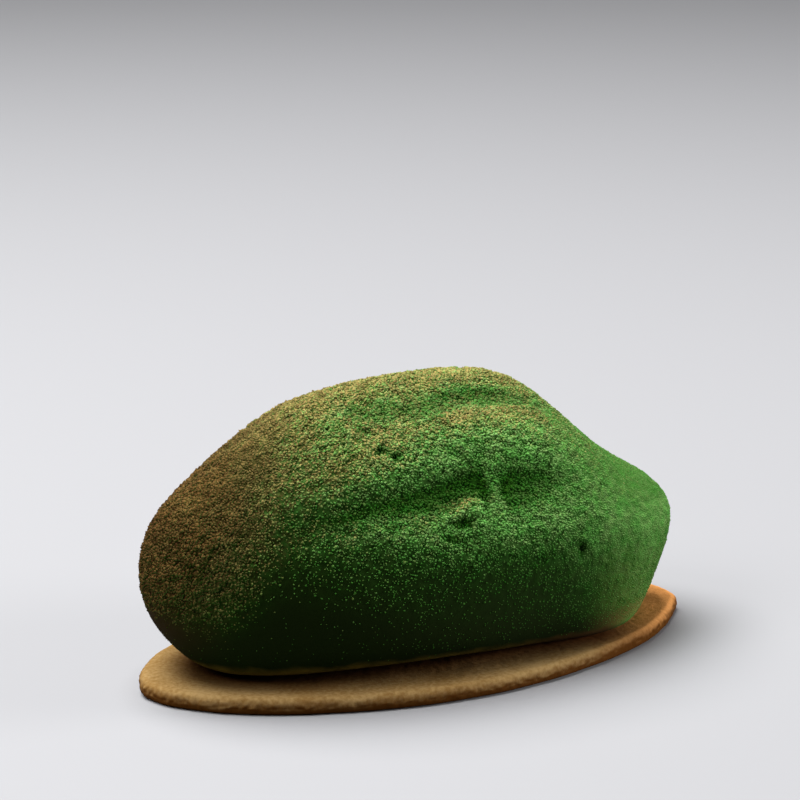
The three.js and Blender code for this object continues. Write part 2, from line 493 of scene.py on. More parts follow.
def coat_map(points, centres):
    """Where points lie on the coat's map, turned the short way round from their centres."""
    middle = (MOUSSE_LOW.x + MOUSSE_HIGH.x) / 2
    half = (MOUSSE_HIGH.x - MOUSSE_LOW.x) / 2
    along = np.arccos(np.clip((middle - points[:, 0]) / half, -1, 1)) / math.pi
    angle = np.arctan2(points[:, 1], points[:, 2] - MAP_LEVEL)
    start = np.arctan2(centres[:, 1], centres[:, 2] - MAP_LEVEL)
    turned = start + (angle - start + math.pi) % (2 * math.pi) - math.pi
    around = 0.5 + turned / (2 * math.pi)
    return MAP_MARGIN + (1 - 2 * MAP_MARGIN) * np.stack([along, around], 1)


def corner_vertices(mesh):
    """The vertex of each face corner."""
    return read_numbers(mesh.loops, "vertex_index")


def face_centres(mesh):
    """The centre of its face for each face corner."""
    return np.repeat(read_rows(mesh.polygons, "center"), read_numbers(mesh.polygons, "loop_total"), axis=0)


def lay_coat_map(mesh, centres):
    """Gives a mesh its map: the place of each corner's vertex, near the centre that belongs to it."""
    corners = positions(mesh)[corner_vertices(mesh)]
    layer = mesh.uv_layers.new(name="OFBake")
    layer.data.foreach_set("uv", coat_map(corners, centres).ravel())


def smooth_mousse():
    """The mousse's solid as an even, smooth mesh."""
    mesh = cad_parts["mousse_body"].data.copy()
    carrier = bpy.data.objects.new("mousse_carrier", mesh)
    bpy.context.scene.collection.objects.link(carrier)
    weld = carrier.modifiers.new("weld", "WELD")
    weld.merge_threshold = WELD_REACH
    remesh = carrier.modifiers.new("even cells", "REMESH")
    remesh.mode = "VOXEL"
    remesh.voxel_size = COAT_CELL
    smooth = carrier.modifiers.new("smooth", "SMOOTH")
    smooth.iterations = COAT_SMOOTHING
    depsgraph = bpy.context.evaluated_depsgraph_get()
    made = bpy.data.meshes.new_from_object(carrier.evaluated_get(depsgraph), depsgraph=depsgraph)
    bpy.data.objects.remove(carrier)
    made.materials.clear()
    return made


def averaged(mesh, values, rounds):
    """Rows of values of a mesh's vertices, averaged with their neighbours again and again."""
    ends = read_numbers(mesh.edges, "vertices", width=2)
    first, second = ends.reshape(-1, 2).T
    shares = 1 / (1 + np.bincount(ends, minlength=len(values)))
    for _ in range(rounds):
        total = values.copy()
        np.add.at(total, first, values[second])
        np.add.at(total, second, values[first])
        values = total * shares[:, None]
    return values


def calm_normals(mesh, rounds):
    """The normals of a mesh's vertices, averaged over their surroundings."""
    normals = averaged(mesh, vertex_normals(mesh), rounds)
    return normals / np.linalg.norm(normals, axis=1, keepdims=True)


def press_marks(mesh):
    """Raises and sinks the small marks on the folded side."""
    points = positions(mesh)
    normals = vertex_normals(mesh)
    lift = np.zeros(len(points))
    for mark in MARKS.values():
        across = (points[:, 0] - mark["at"][0]) / mark["radii"][0]
        upward = (points[:, 2] - mark["at"][1]) / mark["radii"][1]
        lift += mark["height"] * np.exp(-(across**2 + upward**2)) * (points[:, 1] < 0)
    place_vertices(mesh, points + normals * lift[:, None])


def keep_cover(mesh, points, normals):
    """Stores where the crumbs lie and how large they are, and returns the share that is covered."""
    x, z = points[:, 0], points[:, 2]
    beak = ease(x, *BEAK)
    end_cover = END_COVER * ease(x, *END_COVERED) * ease(normals[:, 2], *END_LEAN)
    covered = ease(normals @ np.array(GREEN_FROM) + end_cover + BEAK_COVER * beak, *COVER_RANGE)
    keep_values(mesh, "cover", covered * ease(z, *ABOVE_RIM))
    low, high = (height - drop * beak for height, drop in zip(ABOVE_RIM, FOOT_DROP))
    dust = DUST_LEAST + DUST_MIDDLE * ease(x, *DUST_MIDDLE_RANGE) + DUST_BEAK * beak
    keep_values(mesh, "dusting", np.maximum(covered, dust) * ease(z, low, high))
    keep_values(mesh, "gaps", 0.3 * (1 - beak))
    keep_values(mesh, "crumb_scale", (1.1 - 0.5 * beak) * (0.55 + 0.45 * covered))
    return covered


def keep_thickness_and_shade(mesh, points, normals, rise, covered):
    """Stores how thick the green spray is, which makes it paler, with painted shade in folds, hollows,
    under the belly, on the beak's top and on the ridge between the grooves.
    """
    lean = normals[:, 2]
    beak = ease(points[:, 0], *BEAK)
    thickness_and_shade = ease(normals @ np.array(GREEN_FROM) + BEAK_THICKENED * beak, *THICK_AND_LIT_RANGE)
    # Painted shade: folds darker, ridges lighter
    thickness_and_shade *= 0.25 + 0.75 * ease(rise, *FOLD_RANGE)
    # Painted shade on the beak's upward faces
    thickness_and_shade *= 1 - beak * (0.05 + 0.9 * ease(lean, *BEAK_TOP_LEAN))
    # Painted shade in the hollows; under the belly partly painted shade and partly thinner spray
    hollow = ease(rise, *HOLLOW_RANGE) * (1 - beak) * (1 - 0.5 * ease(lean, *LEVEL_LEAN))
    belly = (1 - covered) * (1 - beak)
    # Painted shade on the ridge between the grooves
    bridge = ease(np.linalg.norm(points - np.array(BRIDGE_PLACE), axis=1), *BRIDGE_REACH)
    with_shade = thickness_and_shade - HOLLOW_SHADE * hollow - BELLY_THINNED_AND_SHADED * belly - BRIDGE_SHADE * bridge
    keep_values(mesh, "thickness_and_shade", with_shade)


def keep_browned(mesh, points, normals, rise):
    """Stores the share of brown, which comes from the blunt end and from above; below the beak it is a
    painted reflection of the biscuit.
    """
    x, lean = points[:, 0], normals[:, 2]
    from_spray = calm_normals(mesh, BROWN_SMOOTHING) @ np.array(BROWN_FROM)
    faded = from_spray - BROWN_FADE * (x - BROWN_FADE_START) + 0.65 * ease(x, *END_FACE)
    from_end = ease(faded, *BROWN_RANGE) * (1.2 + 0.3 * ease(x, *BLUNT_END))
    from_end = np.maximum(from_end, BROWN_TRACE * ease(x, *BROWN_TRACE_RANGE))
    raised = lean + 0.25 * ease(x, 0.0, -30 * MM)
    dusted = DUSTED_SHARE * ease(raised, *DUSTED_LEAN) * ease(x, *DUSTED_RANGE)
    dusted *= 0.5 + 0.5 * ease(rise, *FOLD_RANGE)
    # Painted reflection of the biscuit on the beak's downward faces
    reflected_below_beak = BEAK_REFLECTED_BROWN * ease(x, *BEAK_TIP) * ease(-lean, *BEAK_UNDER_LEAN)
    keep_values(mesh, "browned", np.maximum(np.maximum(from_end, dusted), reflected_below_beak))


def mark_sprays(mesh):
    """Stores how the green and the brown spray cover the mousse."""
    points = positions(mesh)
    normals = calm_normals(mesh, NORMAL_SMOOTHING)
    rise = ((points - averaged(mesh, points, FOLD_SMOOTHING)) * normals).sum(axis=1)
    covered = keep_cover(mesh, points, normals)
    keep_thickness_and_shade(mesh, points, normals, rise, covered)
    keep_browned(mesh, points, normals, rise)


def relief_tree():
    """Lifts a surface along its normals by lumps, and keeps the lift's share as the attribute lift."""
    tree, given, out = new_tree(
        "Velvet Relief",
        [
            ("Lump Size", "NodeSocketFloat"),
            ("Lump Height", "NodeSocketFloat"),
            ("Calm Below", "NodeSocketFloat"),
        ],
    )
    place = add_node(tree, "GeometryNodeInputPosition").outputs[0]
    normal = add_node(tree, "GeometryNodeInputNormal").outputs[0]
    scale = calculated(tree, "DIVIDE", 1.0, given.outputs["Lump Size"])
    lumps = eased(tree, noise_value(tree, place, scale, detail=1.5), *LUMP_RANGE)
    calm = calculated(tree, "ADD", given.outputs["Calm Below"], LUMP_START)
    free = eased(tree, separated(tree, place)["Z"], given.outputs["Calm Below"], calm)
    rough = calculated(tree, "MULTIPLY_ADD", mesh_value(tree, "gaps"), 1.35, 0.6)
    covered = calculated(tree, "MULTIPLY", mesh_value(tree, "cover"), rough)
    strength = calculated(tree, "MULTIPLY_ADD", covered, 0.95, 0.05)
    centred = calculated(tree, "SUBTRACT", lumps, LUMP_LEVEL)
    height = calculated(tree, "MULTIPLY", centred, given.outputs["Lump Height"])
    height = calculated(tree, "MULTIPLY", height, strength)
    height = calculated(tree, "MULTIPLY", height, free)
    moved = add_node(tree, "GeometryNodeSetPosition")
    feed(tree, moved, "Geometry", given.outputs["Geometry"])
    feed(tree, moved, "Offset", vector_calculated(tree, "SCALE", normal, height))
    kept = add_node(tree, "GeometryNodeStoreNamedAttribute", data_type="FLOAT", domain="POINT")
    feed(tree, kept, "Geometry", moved.outputs["Geometry"])
    kept.inputs["Name"].default_value = "lift"
    feed(tree, kept, "Value", lumps)
    tree.links.new(kept.outputs["Geometry"], out.inputs["Geometry"])
    return tree


def crumb_shape(tree, place, small):
    """One crumb of unit radius, made uneven by noise that is read at its own place."""
    ball = add_node(tree, "GeometryNodeMeshIcoSphere")
    feed(tree, ball, "Radius", 1.0)
    feed(tree, ball, "Subdivisions", 1)
    speck = add_node(tree, "GeometryNodeMeshUVSphere")
    feed(tree, speck, "Radius", 1.0)
    feed(tree, speck, "Segments", 4)
    feed(tree, speck, "Rings", 2)
    either = add_node(tree, "GeometryNodeSwitch", input_type="GEOMETRY")
    feed(tree, either, "Switch", small)
    feed(tree, either, "False", ball.outputs["Mesh"])
    feed(tree, either, "True", speck.outputs["Mesh"])
    corner = add_node(tree, "GeometryNodeInputPosition").outputs[0]
    read_at = vector_calculated(tree, "ADD", corner, (place, 2.3 * place, 0.0))
    noise = noise_value(tree, read_at, 0.9, detail=1.0, output="Color")
    shift = vector_calculated(tree, "SUBTRACT", noise, (0.5, 0.5, 0.5))
    uneven = add_node(tree, "GeometryNodeSetPosition")
    feed(tree, uneven, "Geometry", either.outputs["Output"])
    feed(tree, uneven, "Offset", vector_calculated(tree, "SCALE", shift, CRUMB_STRAY))
    single = add_node(tree, "GeometryNodeGeometryToInstance")
    feed(tree, single, 0, uneven.outputs["Geometry"])
    return single.outputs[0]


def clumped(tree, cover):
    """The cover with fewer crumbs between the coat's lumps, by the values lift and gaps."""
    hollow = calculated(tree, "SUBTRACT", 1.0, mesh_value(tree, "lift"))
    left_out = calculated(tree, "MULTIPLY", hollow, mesh_value(tree, "gaps"))
    return calculated(tree, "MULTIPLY", cover, calculated(tree, "SUBTRACT", 1.0, left_out))


def crumb_tree():
    """Scatters uneven crumbs over a surface. Each crumb keeps a random number as the attribute tone."""
    tree, given, out = new_tree(
        "Velvet Crumbs",
        [
            ("Crumb Size", "NodeSocketFloat"),
            ("Spacing", "NodeSocketFloat"),
            ("Cover", "NodeSocketString"),
            ("Sunk", "NodeSocketFloat"),
            ("Small", "NodeSocketBool"),
            ("Seed", "NodeSocketInt"),
            ("Material", "NodeSocketMaterial"),
        ],
    )
    cover = mesh_value(tree, given.outputs["Cover"])
    spread = add_node(tree, "GeometryNodeDistributePointsOnFaces", distribute_method="POISSON")
    feed(tree, spread, "Mesh", given.outputs["Geometry"])
    feed(tree, spread, "Distance Min", given.outputs["Spacing"])
    feed(tree, spread, "Density Max", CRUMB_DENSITY)
    feed(tree, spread, "Density Factor", clumped(tree, cover))
    feed(tree, spread, "Seed", given.outputs["Seed"])

    tone = add_node(tree, "FunctionNodeRandomValue", data_type="FLOAT")
    feed(tree, tone, "Seed", calculated(tree, "ADD", given.outputs["Seed"], 1))
    toned = add_node(tree, "GeometryNodeStoreNamedAttribute", data_type="FLOAT", domain="POINT")
    feed(tree, toned, "Geometry", spread.outputs["Points"])
    feed(tree, toned, "Name", "tone")
    feed(tree, toned, "Value", shown(tone.outputs))

    depth = calculated(tree, "MULTIPLY", given.outputs["Crumb Size"], given.outputs["Sunk"])
    inward = vector_calculated(tree, "SCALE", spread.outputs["Normal"], -1.0)
    lowered = add_node(tree, "GeometryNodeSetPosition")
    feed(tree, lowered, "Geometry", toned.outputs["Geometry"])
    feed(tree, lowered, "Offset", vector_calculated(tree, "SCALE", inward, depth))

    shapes = add_node(tree, "GeometryNodeJoinGeometry")
    for place in CRUMB_SHAPES:
        tree.links.new(crumb_shape(tree, place, given.outputs["Small"]), shapes.inputs[0])

    spin = add_node(tree, "FunctionNodeRandomValue", data_type="FLOAT_VECTOR")
    feed(tree, spin, "Seed", calculated(tree, "ADD", given.outputs["Seed"], 2))
    shown(spin.inputs, "Max").default_value = (2 * math.pi,) * 3
    stretch = add_node(tree, "FunctionNodeRandomValue", data_type="FLOAT_VECTOR")
    feed(tree, stretch, "Seed", calculated(tree, "ADD", given.outputs["Seed"], 3))
    for name, half_width in zip(("Min", "Max"), CRUMB_HALF_WIDTHS):
        shown(stretch.inputs, name).default_value = (half_width,) * 3
    size = calculated(tree, "MULTIPLY", mesh_value(tree, "crumb_scale"), given.outputs["Crumb Size"])

    placed = add_node(tree, "GeometryNodeInstanceOnPoints")
    feed(tree, placed, "Points", lowered.outputs["Geometry"])
    feed(tree, placed, "Instance", shapes.outputs[0])
    feed(tree, placed, "Pick Instance", True)
    feed(tree, placed, "Rotation", shown(spin.outputs))
    feed(tree, placed, "Scale", vector_calculated(tree, "SCALE", shown(stretch.outputs), size))
    real = add_node(tree, "GeometryNodeRealizeInstances")
    feed(tree, real, "Geometry", placed.outputs[0])
    smooth = add_node(tree, "GeometryNodeSetShadeSmooth")
    feed(tree, smooth, "Geometry", real.outputs[0])
    finished = add_node(tree, "GeometryNodeSetMaterial")
    feed(tree, finished, "Geometry", smooth.outputs[0])
    feed(tree, finished, "Material", given.outputs["Material"])
    tree.links.new(finished.outputs[0], out.inputs["Geometry"])
    return tree


def spray_group():
    """A shader group that gives the colour of sprayed crumbs from their share of brown and their tone, with
    painted light on their upward sides.
    """
    tree = bpy.data.node_groups.new("Spray Colour", "ShaderNodeTree")
    for label in ("Light Green", "Deep Green", "Light Brown", "Deep Brown"):
        tree.interface.new_socket(label, in_out="INPUT", socket_type="NodeSocketColor")
    for label in ("Browned", "Tone", "Thickness", "Uneven"):
        tree.interface.new_socket(label, in_out="INPUT", socket_type="NodeSocketFloat")
    tree.interface.new_socket("Color", in_out="OUTPUT", socket_type="NodeSocketColor")
    given = add_node(tree, "NodeGroupInput")
    out = add_node(tree, "NodeGroupOutput")
    coordinates = add_node(tree, "ShaderNodeTexCoord").outputs
    place, normal = coordinates["Object"], coordinates["Normal"]
    slow = calculated(tree, "SUBTRACT", noise_value(tree, place, 1 / DRIFT_WIDTH, detail=3.0), 0.5)
    reached = eased(tree, given.outputs["Browned"], 0.0, 0.3)
    drift = calculated(tree, "MULTIPLY", slow, reached)
    browned = calculated(tree, "MULTIPLY_ADD", drift, 0.85, given.outputs["Browned"])
    low = calculated(tree, "MULTIPLY_ADD", given.outputs["Tone"], 0.7, -0.25)
    high = calculated(tree, "ADD", low, 0.9)
    toward_brown = vector_calculated(tree, "DOT_PRODUCT", normal, BROWN_FROM, output="Value")
    exposed = calculated(tree, "MULTIPLY_ADD", eased(tree, toward_brown, -0.3, 0.6), 0.6, 0.4)
    brown_share = calculated(tree, "MULTIPLY", eased(tree, browned, low, high), exposed)

    shade = add_node(tree, "ShaderNodeTexWhiteNoise", noise_dimensions="1D")
    feed(tree, shade, "W", calculated(tree, "MULTIPLY", given.outputs["Tone"], 1000.0))
    # Painted light: upward faces are made paler
    upward = vector_calculated(tree, "DOT_PRODUCT", normal, (0.0, 0.0, 1.0), output="Value")
    painted_top_light = calculated(tree, "MULTIPLY", eased(tree, upward, -0.5, 0.8), 0.55)
    lightness = calculated(tree, "MULTIPLY_ADD", shade.outputs["Value"], 0.32, painted_top_light)
    patches = calculated(tree, "SUBTRACT", noise_value(tree, place, 1 / BLOTCH_WIDTH), 0.5)
    patches = calculated(tree, "MULTIPLY_ADD", slow, 0.5, patches)
    lightness = calculated(tree, "MULTIPLY_ADD", patches, given.outputs["Uneven"], lightness)
    thickness_and_shade = calculated(tree, "MULTIPLY_ADD", given.outputs["Thickness"], 0.75, 0.25)
    lightness = calculated(tree, "MULTIPLY", lightness, thickness_and_shade)

    green = mixed_colour(tree, lightness, given.outputs["Deep Green"], given.outputs["Light Green"])
    hue = noise_value(tree, place, 1 / HUE_WIDTH, detail=3.0)
    hue = calculated(tree, "MULTIPLY_ADD", shade.outputs["Value"], 0.25, hue)
    green = product(tree, green, mixed_colour(tree, eased(tree, hue, 0.4, 0.85), COOL_TINT, WARM_TINT))

    dense = calculated(tree, "MULTIPLY_ADD", eased(tree, browned, 0.7, 1.4), -0.58, 1.0)
    scattered = calculated(tree, "MULTIPLY_ADD", shade.outputs["Value"], 0.5, -0.25)
    brown_lightness = calculated(tree, "ADD", lightness, scattered)
    brown_lightness = calculated(tree, "MULTIPLY", brown_lightness, dense)
    brown = mixed_colour(tree, brown_lightness, given.outputs["Deep Brown"], given.outputs["Light Brown"])
    reddened = mixed_colour(tree, eased(tree, browned, 0.95, 1.65), UNCHANGED, RED_TINT)
    brown = product(tree, brown, reddened)
    tree.links.new(mixed_colour(tree, brown_share, green, brown), out.inputs["Color"])
    return tree


def sprayed(tree, settings, browned, tone, thickness_and_shade, uneven):
    """The Spray Colour group in a material, with the coat's colours."""
    node = add_node(tree, "ShaderNodeGroup", node_tree=bpy.data.node_groups["Spray Colour"])
    colours = {
        "Light Green": settings.green_light,
        "Deep Green": settings.green_deep,
        "Light Brown": settings.brown_light,
        "Deep Brown": settings.brown_deep,
    }
    for label, colour in colours.items():
        node.inputs[label].default_value = (*colour, 1.0)
    sources = {"Browned": browned, "Tone": tone, "Thickness": thickness_and_shade, "Uneven": uneven}
    for label, source in sources.items():
        tree.links.new(source, node.inputs[label])
    return node.outputs["Color"]


def new_material(name, roughness, specular):
    """A material with a Principled shader, its node tree and the shader."""
    material = bpy.data.materials.new(name)
    material.use_nodes = True
    tree = material.node_tree
    shader = tree.nodes["Principled BSDF"]
    shader.inputs["Roughness"].default_value = roughness
    shader.inputs["Specular IOR Level"].default_value = specular
    return material, tree, shader


def add_grain(tree, shader, place, width, depth, strength):
    """Adds a bump of fine grain, which is smaller than the mesh's cells."""
    bump = add_node(tree, "ShaderNodeBump")
    feed(tree, bump, "Strength", strength)
    feed(tree, bump, "Distance", depth)
    feed(tree, bump, "Height", noise_value(tree, place, 1 / width))
    feed(tree, shader, "Normal", bump.outputs["Normal"])


def kept_value(tree, name):
    """A number that the mesh keeps under a name."""
    return add_node(tree, "ShaderNodeAttribute", attribute_name=name).outputs["Fac"]


def crumb_material(settings):
    """The sprayed crumbs."""
    material, tree, shader = new_material("velvet_crumb", 0.9, 0.03)
    browned, tone, thickness_and_shade = (kept_value(tree, name) for name in ("browned", "tone", "thickness_and_shade"))
    thickness_and_shade = calculated(tree, "MULTIPLY_ADD", thickness_and_shade, 0.82, 0.18)
    uneven = calculated(tree, "MULTIPLY_ADD", kept_value(tree, "gaps"), 2.0, 0.4)
    colour = sprayed(tree, settings, browned, tone, thickness_and_shade, uneven)
    tree.links.new(colour, shader.inputs["Base Color"])
    return material


def coat_material(settings):
    """The coat between the crumbs, with painted shade in its hollows, a near-black underside that is partly
    painted shade, and bare near the biscuit, where the band is painted reflection and shade.
    """
    material, tree, shader = new_material("velvet_coat", 0.9, 0.03)
    place = add_node(tree, "ShaderNodeTexCoord").outputs["Object"]
    tone = eased(tree, noise_value(tree, place, 1 / TONE_WIDTH, detail=1.0), 0.3, 0.7)
    kept_brown = kept_value(tree, "browned")
    brown_left = calculated(tree, "MULTIPLY_ADD", kept_brown, 0.5, 0.35)
    browned = calculated(tree, "MULTIPLY", kept_brown, brown_left)
    uneven = calculated(tree, "MULTIPLY_ADD", kept_value(tree, "gaps"), 2.0, 0.4)
    colour = sprayed(tree, settings, browned, tone, kept_value(tree, "thickness_and_shade"), uneven)
    parts = separated(tree, place)
    beakward = calculated(tree, "MULTIPLY", eased(tree, parts["X"], 8 * MM, 38 * MM), 0.8)
    # Painted shade in the coat's hollows between its lumps, less of it on the beak
    shadowed = mixed_colour(tree, kept_value(tree, "lift"), HOLLOW_SHADE_TINT, LIFTED_SHADE_TINT)
    hollow = product(tree, colour, mixed_colour(tree, beakward, shadowed, BEAK_SHADE_TINT))
    tipward = eased(tree, parts["X"], 20 * MM, 42 * MM)
    # Where the cover is thin the coat turns near-black, partly painted shade
    shaded_under = mixed_colour(tree, tipward, settings.shaded_under, settings.under_beak_reflected)
    shaded_under = mixed_colour(tree, eased(tree, kept_brown, 0.4, 1.8), shaded_under, settings.brown_deep)
    hollow = mixed_colour(tree, kept_value(tree, "cover"), shaded_under, hollow)

    stray = calculated(tree, "MULTIPLY", noise_value(tree, place, 1 / RIM_STRAY_WIDTH), RIM_STRAY)
    height = calculated(tree, "SUBTRACT", parts["Z"], stray)
    rimward = eased(tree, parts["X"], *RIM_BEAK_RANGE)
    rim_low, rim_high = RIM_HEIGHTS
    rim_top = calculated(tree, "MULTIPLY_ADD", rimward, -RIM_BEAK_DROP, rim_high)
    rim_share = calculated(tree, "SUBTRACT", 1.0, eased(tree, height, rim_low, rim_top))
    # Painted reflection in the bare band, turning to painted shade toward the beak
    rim_painted_light = mixed_colour(tree, rimward, settings.rim_painted_light, settings.rim_beak_shaded)
    banded = mixed_colour(tree, rim_share, hollow, rim_painted_light)
    foot_share = calculated(tree, "SUBTRACT", 1.0, eased(tree, height, *FOOT_HEIGHTS))
    foot_share = calculated(tree, "MULTIPLY", foot_share, eased(tree, parts["X"], *FOOT_RANGE))
    tree.links.new(mixed_colour(tree, foot_share, banded, settings.foot), shader.inputs["Base Color"])
    add_grain(tree, shader, place, width=0.35 * MM, depth=0.1 * MM, strength=0.5)
    return material


def sable_material(settings):
    """Baked dough: a sandy top with browned patches, more toward the beak, and a darker side. The browning
    toward the beak is partly painted shade, the pale orange tip partly painted light, and painted shadow
    darkens the top near the mousse.
    """
    material, tree, shader = new_material("baked_dough", 0.9, 0.04)
    place = add_node(tree, "ShaderNodeTexCoord").outputs["Object"]
    patches = noise_value(tree, place, 1 / BAKED_PATCH_WIDTH, detail=3.0)
    sand = noise_value(tree, place, 1 / SAND_WIDTH)
    share = calculated(tree, "MULTIPLY_ADD", sand, 0.7, calculated(tree, "MULTIPLY", patches, 0.6))
    top = mixed_colour(tree, eased(tree, share, 0.42, 0.88), settings.top_deep, settings.top_light)
    along = separated(tree, place)["X"]
    # Toward the beak's end the top turns paler orange: partly baked colour, partly painted light
    right = calculated(tree, "MULTIPLY", eased(tree, along, 18 * MM, 48 * MM), 0.95)
    top = mixed_colour(tree, right, top, settings.top_right_orange_lit)

    lean = separated(tree, add_node(tree, "ShaderNodeNewGeometry").outputs["Normal"])["Z"]
    uneven = calculated(tree, "ADD", lean, calculated(tree, "MULTIPLY_ADD", sand, 0.2, -0.1))
    uneven = calculated(tree, "MULTIPLY_ADD", calculated(tree, "SUBTRACT", patches, 0.5), 0.8, uneven)
    # Browner toward the beak: partly baking, partly painted shade
    uneven = calculated(tree, "MULTIPLY_ADD", eased(tree, along, -5 * MM, 40 * MM), -0.3, uneven)
    browned = calculated(tree, "SUBTRACT", 1.0, eased(tree, uneven, -0.3, 0.95))
    unshadowed = mixed_colour(tree, browned, top, settings.edge)
    # Painted shadow on the top near the mousse
    shadow_tint = mixed_colour(tree, kept_value(tree, "painted_shadow"), UNCHANGED, settings.painted_shadow)
    tree.links.new(product(tree, unshadowed, shadow_tint), shader.inputs["Base Color"])
    add_grain(tree, shader, place, width=0.3 * MM, depth=0.12 * MM, strength=0.6)
    return material


def sable_outline(angle, inset, wobble):
    """A point of the biscuit's outline, drawn in by an inset."""
    power = 2 / SABLE_POWER
    half_length = (SABLE_HIGH.x - SABLE_LOW.x) / 2
    half_width = (SABLE_HIGH.y - SABLE_LOW.y) / 2
    x = np.sign(np.cos(angle)) * np.abs(np.cos(angle)) ** power * half_length
    y = np.sign(np.sin(angle)) * np.abs(np.sin(angle)) ** power * half_width
    stray = sum(height * np.sin(number * angle + start) for height, number, start in SABLE_WAVES)
    nearness = np.clip(1 - np.abs(y - SABLE_CORNER_AT) / SABLE_CORNER_REACH, 0, 1)
    x = np.where(x > 0, x + SABLE_CORNER * nearness**SABLE_CORNER_POWER, x)
    radius = np.hypot(x, y)
    share = 1 - (inset + wobble * (0.6 + 0.6 * stray)) / radius
    return x * share, y * share


def sable_rings():
    """The biscuit's rings from the middle of its underside to the middle of its top: inset and height."""
    top = SABLE_HIGH.z
    turns = [math.pi / 2 * step / SABLE_EDGE_STEPS for step in range(SABLE_EDGE_STEPS + 1)]
    rings = [(inset, 0.0) for inset in SABLE_UNDER_INSETS]
    for turn in turns:
        rings.append((SABLE_LOWER_EDGE * (1 - math.sin(turn)), SABLE_LOWER_EDGE * (1 - math.cos(turn))))
    low, high = SABLE_LOWER_EDGE, top - SABLE_UPPER_EDGE
    for step in range(1, SABLE_SIDE_STEPS):
        rings.append((0.0, low + (high - low) * step / SABLE_SIDE_STEPS))
    for turn in turns:
        height = top - SABLE_UPPER_EDGE * (1 - math.sin(turn))
        rings.append((SABLE_UPPER_EDGE * (1 - math.cos(turn)), height))
    for step in range(1, SABLE_FINE_RINGS + 1):
        rings.append((SABLE_UPPER_EDGE + SABLE_FINE_GAP * step, top))
    rings.append(((SABLE_HIGH.y - SABLE_LOW.y) / 2 - SABLE_MIDDLE, top))
    return rings


def sable_mesh(wobble):
    """The biscuit as rings of points, closed by one point below and one above, with its map."""
    angles = 2 * math.pi * np.arange(SABLE_STEPS) / SABLE_STEPS
    rings = sable_rings()
    points = [(0.0, 0.0, 0.0)]
    for inset, height in rings:
        x, y = sable_outline(angles, inset, wobble)
        points.extend(zip(x.tolist(), y.tolist(), [height] * SABLE_STEPS))
    points.append((0.0, 0.0, SABLE_HIGH.z))
    count = len(rings)
    last = len(points) - 1
    last_ring = 1 + (count - 1) * SABLE_STEPS
    faces = []
    places = []
    for step in range(SABLE_STEPS):
        following = (step + 1) % SABLE_STEPS
        left, right = step / SABLE_STEPS, (step + 1) / SABLE_STEPS
        middle = (left + right) / 2
        lowest, highest = 1 / (count + 1), count / (count + 1)
        faces.append((0, 1 + following, 1 + step))
        places.extend([(middle, 0.0), (right, lowest), (left, lowest)])
        for ring in range(count - 1):
            low, high = 1 + ring * SABLE_STEPS, 1 + (ring + 1) * SABLE_STEPS
            below, above = (ring + 1) / (count + 1), (ring + 2) / (count + 1)
            faces.append((low + step, low + following, high + following, high + step))
            places.extend([(left, below), (right, below), (right, above), (left, above)])
        faces.append((last, last_ring + step, last_ring + following))
        places.extend([(middle, 1.0), (left, highest), (right, highest)])
    mesh = bpy.data.meshes.new("sable_form")
    mesh.from_pydata(points, [], faces)
    layer = mesh.uv_layers.new(name="OFBake")
    layer.data.foreach_set("uv", np.array(places).ravel())
    mesh.shade_smooth()
    return mesh


def keep_painted_shadow(mesh):
    """Stores a painted shadow on the biscuit: darker the nearer a point lies to the mousse, fading out
    toward the beak.
    """
    coat = bpy.data.meshes["mousse_coat"]
    faces = [tuple(face.vertices) for face in coat.polygons]
    mousse = BVHTree.FromPolygons(positions(coat).tolist(), faces)
    points = positions(mesh)
    distances = np.array([mousse.find_nearest(point)[3] for point in points.tolist()])
    keep_values(mesh, "painted_shadow", ease(distances, PAINTED_SHADOW_REACH, 0.0) * ease(points[:, 0], *PAINTED_SHADOW_RANGE))


def sable_tree():
    """Lifts the biscuit's surface by grains and a slow swell, more on its side and not on its underside."""
    tree, given, out = new_tree(
        "Baked Relief",
        [
            ("Grain Size", "NodeSocketFloat"),
            ("Grain Height", "NodeSocketFloat"),
            ("Swell Height", "NodeSocketFloat"),
        ],
    )
    place = add_node(tree, "GeometryNodeInputPosition").outputs[0]
    normal = add_node(tree, "GeometryNodeInputNormal").outputs[0]
    scale = calculated(tree, "DIVIDE", 1.0, given.outputs["Grain Size"])
    grains = calculated(tree, "SUBTRACT", noise_value(tree, place, scale, detail=1.0), 0.55)
    swell = calculated(tree, "SUBTRACT", noise_value(tree, place, 1 / SWELL_WIDTH, detail=1.0), 0.5)
    swell_height = calculated(tree, "MULTIPLY", given.outputs["Swell Height"], 2.0)
    grain_height = calculated(tree, "MULTIPLY", given.outputs["Grain Height"], 3.0)
    coarse = calculated(tree, "MULTIPLY", swell, swell_height)
    fine = calculated(tree, "MULTIPLY", grains, grain_height)
    lean = calculated(tree, "ABSOLUTE", separated(tree, normal)["Z"])
    fine = calculated(tree, "MULTIPLY", fine, calculated(tree, "SUBTRACT", 1.6, lean))
    free = eased(tree, separated(tree, place)["Z"], 0.02 * MM, 0.5 * MM)
    height = calculated(tree, "MULTIPLY", calculated(tree, "ADD", coarse, fine), free)
    moved = add_node(tree, "GeometryNodeSetPosition")
    feed(tree, moved, "Geometry", given.outputs["Geometry"])
    feed(tree, moved, "Offset", vector_calculated(tree, "SCALE", normal, height))
    tree.links.new(moved.outputs["Geometry"], out.inputs["Geometry"])
    return tree


